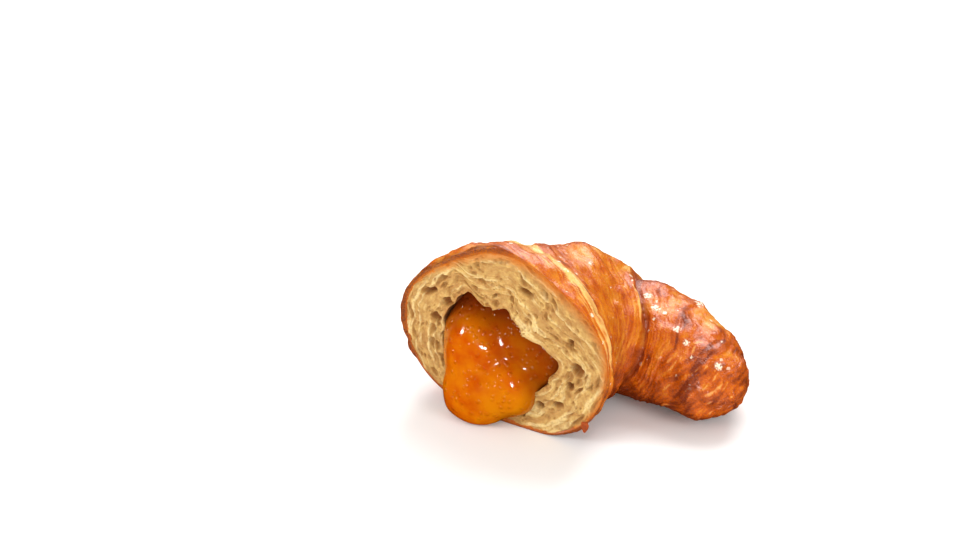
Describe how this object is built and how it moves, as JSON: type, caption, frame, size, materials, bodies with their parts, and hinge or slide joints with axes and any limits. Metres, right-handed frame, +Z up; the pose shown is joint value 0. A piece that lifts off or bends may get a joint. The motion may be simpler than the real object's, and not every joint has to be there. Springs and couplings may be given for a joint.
{
  "type": "croissant half",
  "caption": "Half of a jam-filled croissant, cut across its middle: a bent, wrapped and baked roll that narrows to one blunt horn, with jam running out over the cut face.",
  "frame": {"origin": "on the table under the middle of the bounding box", "axes": "+Z up, -Y the way the cut face looks, +X the way the horn points"},
  "size_m": [0.0958, 0.0682, 0.0574],
  "materials": {
    "crust": "egg-washed laminated dough baked golden brown, glossy on the swellings and dark in the creases",
    "crumb": "soft cream-yellow open crumb in thin layers, dry and matte",
    "apricot_jam": "smooth translucent orange jam with a wet gloss"
  },
  "bodies": {
    "root": {"baked_pastry": "crust", "apricot_jam": "apricot_jam"}
  },
  "joints": []
}
